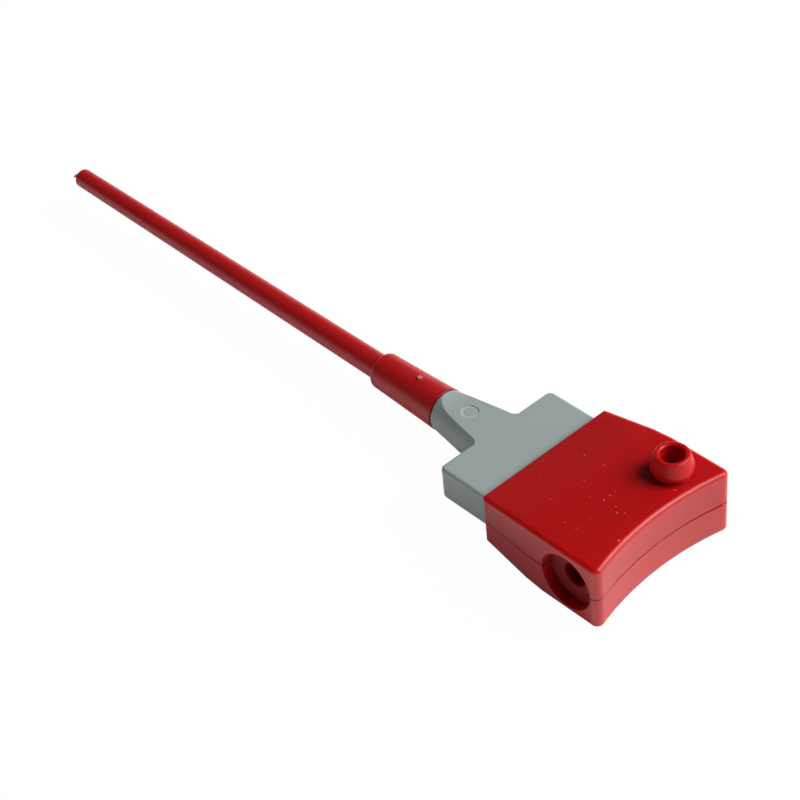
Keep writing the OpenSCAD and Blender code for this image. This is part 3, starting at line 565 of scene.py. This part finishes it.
def mesh_from_tree(name, tree, values, finish_socket, finish):
    """Evaluate a Geometry Nodes tree once and return a plain mesh object."""
    host = bpy.data.objects.new(name + "_maker", bpy.data.meshes.new(name + "_maker"))
    bpy.context.scene.collection.objects.link(host)
    maker = host.modifiers.new("maker", "NODES")
    maker.node_group = tree
    for identifier, value in values:
        maker[identifier] = value
    maker[finish_socket.identifier] = finish
    graph = bpy.context.evaluated_depsgraph_get()
    mesh = bpy.data.meshes.new_from_object(host.evaluated_get(graph))
    bpy.data.objects.remove(host)
    piece = bpy.data.objects.new(name, mesh)
    bpy.context.scene.collection.objects.link(piece)
    return piece


coil_spring = mesh_from_tree("coil_spring", coil_tree, coil_inputs.values(), wire_socket, wire_steel)
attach(coil_spring, "grip")
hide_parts("return_spring")
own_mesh(coil_spring)
print("spring faces:", len(coil_spring.data.polygons), "length in mm:", round(1000 * spring_length, 2))

# %% [markdown]
# ## White table
# The hook lies on a plain white sweep, here a large disc of matt white. The camera sees it mixed almost
# wholly towards plain white, so the background is clean and only a trace of the shadow stays on it.
# Glossy surfaces see more of it as it is lit: the shadow beside the head is mirrored in the head's near
# side and keeps it dark, where a plain white would make it milky.

# %% Floor
FLOOR_RADIUS = 3.0
FLOOR_HEIGHT = -0.0002
WHITENESS = 0.985
MIRRORED_WHITENESS = 0.15
RIM_POINTS = 96
turns = [math.tau * i / RIM_POINTS for i in range(RIM_POINTS)]
rim = [(FLOOR_RADIUS * math.cos(a), FLOOR_RADIUS * math.sin(a), FLOOR_HEIGHT) for a in turns]
floor_mesh = bpy.data.meshes.new("table")
floor_mesh.from_pydata(rim, [], [list(range(RIM_POINTS))])
table = bpy.data.objects.new("table", floor_mesh)
bpy.context.scene.collection.objects.link(table)

paper = bpy.data.materials.new("white_paper")
paper.use_nodes = True
tree = paper.node_tree
tree.nodes.clear()
out = add(tree, "ShaderNodeOutputMaterial", (600, 0))
matt_white = add(tree, "ShaderNodeBsdfDiffuse", (100, 100))
fibre = add(tree, "ShaderNodeTexNoise", (-400, 200), None, {"Scale": 900.0, "Detail": 2.0})
fibre_tint = add(tree, "ShaderNodeMix", (-150, 150), {"data_type": "RGBA"},
                 {6: (0.95, 0.95, 0.95, 1.0), 7: (0.98, 0.98, 0.98, 1.0)})
plain_white = add(tree, "ShaderNodeEmission", (100, -100), None, {"Strength": 1.0})
rays = add(tree, "ShaderNodeLightPath", (-600, -100))
direct = add(tree, "ShaderNodeMath", (-350, -50), {"operation": "MAXIMUM"})
direct_share = add(tree, "ShaderNodeMath", (-150, -50), {"operation": "MULTIPLY"}, {1: WHITENESS})
mirrored_share = add(tree, "ShaderNodeMath", (-150, -250), {"operation": "MULTIPLY"}, {1: MIRRORED_WHITENESS})
share = add(tree, "ShaderNodeMath", (100, -250), {"operation": "MAXIMUM"})
blend = add(tree, "ShaderNodeMixShader", (350, 0))
place_on = add(tree, "ShaderNodeTexCoord", (-600, 200))
tree.links.new(place_on.outputs["Object"], fibre.inputs["Vector"])
tree.links.new(fibre.outputs["Fac"], fibre_tint.inputs[0])
tree.links.new(fibre_tint.outputs[2], matt_white.inputs["Color"])
tree.links.new(rays.outputs["Is Camera Ray"], direct.inputs[0])
tree.links.new(rays.outputs["Is Transmission Ray"], direct.inputs[1])
tree.links.new(direct.outputs["Value"], direct_share.inputs[0])
tree.links.new(rays.outputs["Is Glossy Ray"], mirrored_share.inputs[0])
tree.links.new(direct_share.outputs["Value"], share.inputs[0])
tree.links.new(mirrored_share.outputs["Value"], share.inputs[1])
tree.links.new(share.outputs["Value"], blend.inputs["Fac"])
tree.links.new(matt_white.outputs["BSDF"], blend.inputs[1])
tree.links.new(plain_white.outputs["Emission"], blend.inputs[2])
tree.links.new(blend.outputs["Shader"], out.inputs["Surface"])
floor_mesh.materials.append(paper)
print("floor radius in m:", FLOOR_RADIUS)

# %% [markdown]
# ## Light
# The shadow of the top bush falls to the near left, and the thumb face is as bright as the far side of
# the tube, so the main light is a broad soft box to the right and on the far side, about 42 degrees up. A
# veil in front of it gives two fifths of the light and is hidden from mirrors, because one bare box makes
# harder highlights than the photograph has. A low card on the near side lifts the dark faces a little,
# hidden from mirrors as well. The room is bright only near the horizon of the far side and dim overhead,
# which keeps the upper face of the head a deep red.

# %% Soft boxes and surroundings
LIGHTS = {
    "soft_box": {"place": (0.660, 0.630, 0.833), "size": (0.80, 0.80), "power": 13.2, "mirrored": True},
    "soft_veil": {"place": (0.655, 0.625, 0.826), "size": (0.80, 0.80), "power": 8.7, "mirrored": False},
    "low_card": {"place": (-0.15, -0.44, 0.045), "size": (0.70, 0.08), "power": 0.42, "mirrored": False},
}
HOOK_MIDDLE = (0.05, 0.0, 0.005)
SKY_STRENGTH = 0.8
for name, spec in LIGHTS.items():
    lamp = bpy.data.lights.new(name, "AREA")
    lamp.shape = "RECTANGLE"
    lamp.size, lamp.size_y = spec["size"]
    lamp.energy = spec["power"]
    holder = bpy.data.objects.new(name, lamp)
    holder.location = spec["place"]
    towards = [a - b for a, b in zip(spec["place"], HOOK_MIDDLE)]
    flat = math.hypot(towards[0], towards[1])
    holder.rotation_euler = (math.atan2(flat, towards[2]), 0.0, math.atan2(towards[0], -towards[1]))
    holder.visible_glossy = spec["mirrored"]
    bpy.context.scene.collection.objects.link(holder)

room = bpy.data.worlds.new("room")
bpy.context.scene.world = room
room.use_nodes = True
tree = room.node_tree
tree.nodes.clear()
out = add(tree, "ShaderNodeOutputWorld", (600, 0))
sky = add(tree, "ShaderNodeBackground", (350, 0), None, {"Strength": SKY_STRENGTH})
way = add(tree, "ShaderNodeTexCoord", (-500, 0))
parts = add(tree, "ShaderNodeSeparateXYZ", (-300, 0))
height = add(tree, "ShaderNodeMapRange", (-100, 0), {"interpolation_type": "SMOOTHSTEP"},
             {"From Min": 0.02, "From Max": 0.45, "To Min": 1.0, "To Max": 0.03})
far_side = add(tree, "ShaderNodeMapRange", (-100, -250), {"interpolation_type": "SMOOTHSTEP"},
               {"From Min": -0.4, "From Max": 0.5, "To Min": 0.15, "To Max": 1.0})
glow = add(tree, "ShaderNodeMath", (150, 0), {"operation": "MULTIPLY"})
tree.links.new(way.outputs["Generated"], parts.inputs["Vector"])
tree.links.new(parts.outputs["Z"], height.inputs["Value"])
tree.links.new(parts.outputs["Y"], far_side.inputs["Value"])
tree.links.new(height.outputs["Result"], glow.inputs[0])
tree.links.new(far_side.outputs["Result"], glow.inputs[1])
tree.links.new(glow.outputs["Value"], sky.inputs["Color"])
tree.links.new(sky.outputs["Background"], out.inputs["Surface"])
bpy.context.scene.view_settings.view_transform = "Standard"
print("lights:", ", ".join(LIGHTS))
